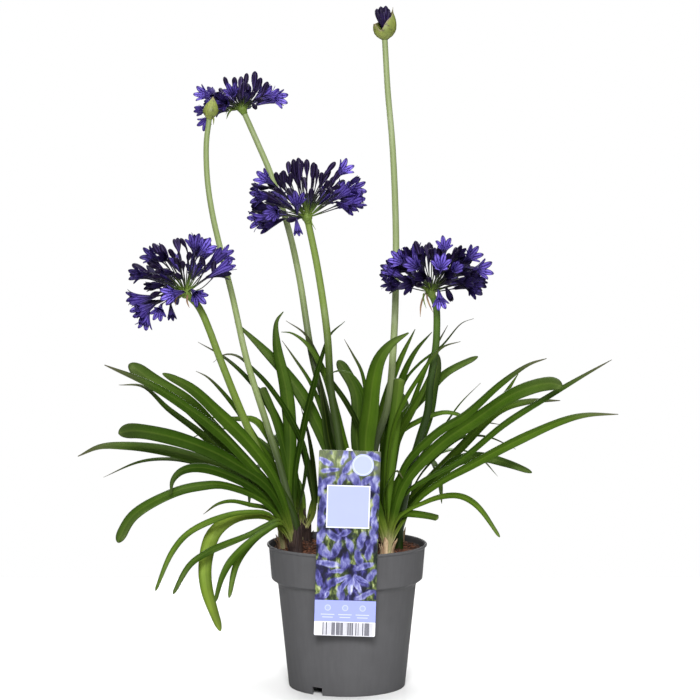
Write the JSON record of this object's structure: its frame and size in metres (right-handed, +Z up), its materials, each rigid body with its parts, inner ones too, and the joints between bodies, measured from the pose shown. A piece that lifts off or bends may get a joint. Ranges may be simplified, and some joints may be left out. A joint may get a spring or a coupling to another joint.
{
  "type": "potted agapanthus",
  "caption": "Agapanthus in a round nursery pot with a plant label: clumps of strap leaves, tall bare stems, round heads of violet florets and sheathed buds.",
  "frame": {"origin": "middle of the pot's base, on the surface that it stands on", "axes": "+Z up, -Y towards the front with the plant label, +X to the label's right"},
  "size_m": [0.556, 0.2912, 0.7215],
  "materials": {
    "pot": "satin grey moulded plastic",
    "soil": "dry dark bark and peat",
    "label": "printed glossy plastic",
    "stems": "smooth satin green",
    "leaves": "satin green with long veins",
    "florets": "soft violet petals",
    "spathes": "satin lime green, dry at the tips"
  },
  "bodies": {
    "root": {"pot": "pot", "soil": "soil", "plant_label": "label", "stem_low_left": "stems", "stem_closed_bud": "stems", "stem_high_left": "stems", "stem_centre": "stems", "stem_top_bud": "stems", "stem_low_right": "stems", "leaf_fan_left_front": "leaves", "leaf_fan_left_side": "leaves", "leaf_fan_left_middle": "leaves", "leaf_fan_left_back": "leaves", "leaf_fan_right_front": "leaves", "leaf_fan_right_side": "leaves", "leaf_fan_right_middle": "leaves", "leaf_fan_right_back": "leaves", "head_low_left": "florets", "head_high_left": "florets", "head_centre": "florets", "head_low_right": "florets", "closed_bud": "spathes", "top_bud": "spathes"}
  },
  "joints": []
}
